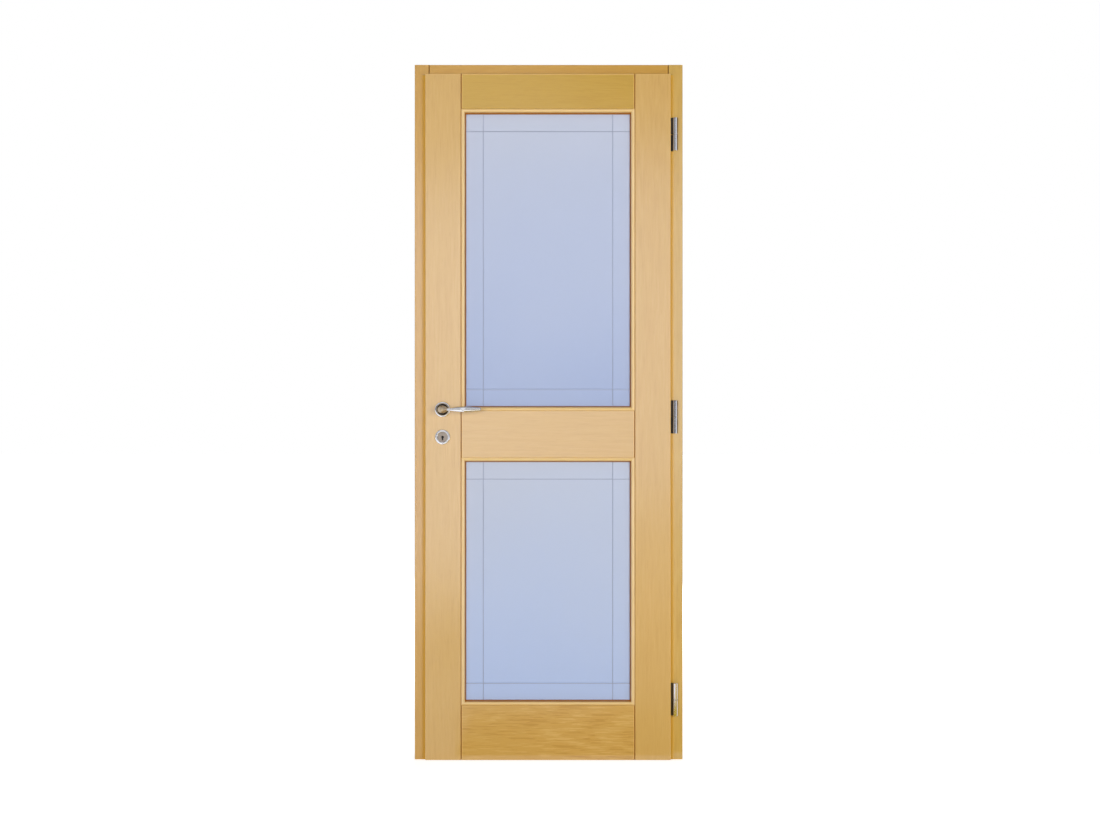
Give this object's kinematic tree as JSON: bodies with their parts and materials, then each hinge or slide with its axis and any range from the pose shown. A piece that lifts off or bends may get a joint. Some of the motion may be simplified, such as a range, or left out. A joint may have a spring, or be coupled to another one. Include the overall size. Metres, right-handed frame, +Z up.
{
  "type": "glazed hinged door set",
  "caption": "Rebated timber door with frosted panes above and below a mid rail, hung on pin hinges in its wooden frame, with a lever handle and a round key plate.",
  "frame": {"origin": "on the hinge jamb's outer side face, at floor level and halfway through the frame's depth", "axes": "+X to the right, out of the hinge jamb's side face; +Z up; the front, with the hinge knuckles, faces -Y"},
  "size_m": [0.8, 0.167, 2.074],
  "materials": {
    "frame_wood": "varnished softwood, satin",
    "stile_wood": "varnished softwood with upright grain, satin",
    "rail_wood": "varnished softwood with level grain, satin",
    "bead_wood": "varnished softwood moulding, satin",
    "frosted_glass": "acid-frosted with polished engraved lines",
    "hinge_steel": "polished",
    "handle_chrome": "polished with satin recesses",
    "lock_steel": "brushed"
  },
  "bodies": {
    "frame": {"hinge_jamb": "frame_wood", "latch_jamb": "frame_wood", "head_jamb": "frame_wood", "strike_plate": "lock_steel", "hinge_frame_leaf_1": "hinge_steel", "hinge_frame_leaf_2": "hinge_steel", "hinge_frame_leaf_3": "hinge_steel"},
    "door": {"latch_stile": "stile_wood", "hinge_stile": "stile_wood", "top_rail": "rail_wood", "mid_rail": "rail_wood", "bottom_rail": "rail_wood", "upper_glass": "frosted_glass", "lower_glass": "frosted_glass", "upper_front_bead_left": "bead_wood", "upper_front_bead_right": "bead_wood", "upper_front_bead_bottom": "bead_wood", "upper_front_bead_top": "bead_wood", "upper_back_bead_left": "bead_wood", "upper_back_bead_right": "bead_wood", "upper_back_bead_bottom": "bead_wood", "upper_back_bead_top": "bead_wood", "lower_front_bead_left": "bead_wood", "lower_front_bead_right": "bead_wood", "lower_front_bead_bottom": "bead_wood", "lower_front_bead_top": "bead_wood", "lower_back_bead_left": "bead_wood", "lower_back_bead_right": "bead_wood", "lower_back_bead_bottom": "bead_wood", "lower_back_bead_top": "bead_wood", "hinge_door_leaf_1": "hinge_steel", "hinge_door_leaf_2": "hinge_steel", "hinge_door_leaf_3": "hinge_steel", "lock_forend": "lock_steel", "latch_bolt": "lock_steel", "dead_bolt": "lock_steel", "rose_front": "handle_chrome", "rose_back": "handle_chrome", "escutcheon_front": "handle_chrome", "escutcheon_back": "handle_chrome"},
    "handle": {"lever_front": "handle_chrome", "lever_back": "handle_chrome", "spindle": "lock_steel"}
  },
  "joints": [
    {"name": "door_swing", "type": "hinge", "parent": "frame", "child": "door", "pos_m": [-0.023, -0.057, 1.023], "axis": [0, 0, 1], "range_deg": [0, 160]},
    {"name": "handle_turn", "type": "hinge", "parent": "door", "child": "handle", "pos_m": [-0.715, -0.045, 1.045], "axis": [0, 1, 0], "range_deg": [0, 40], "stiffness_Nm_per_rad": 1.5, "springref_deg": -22.92}
  ]
}
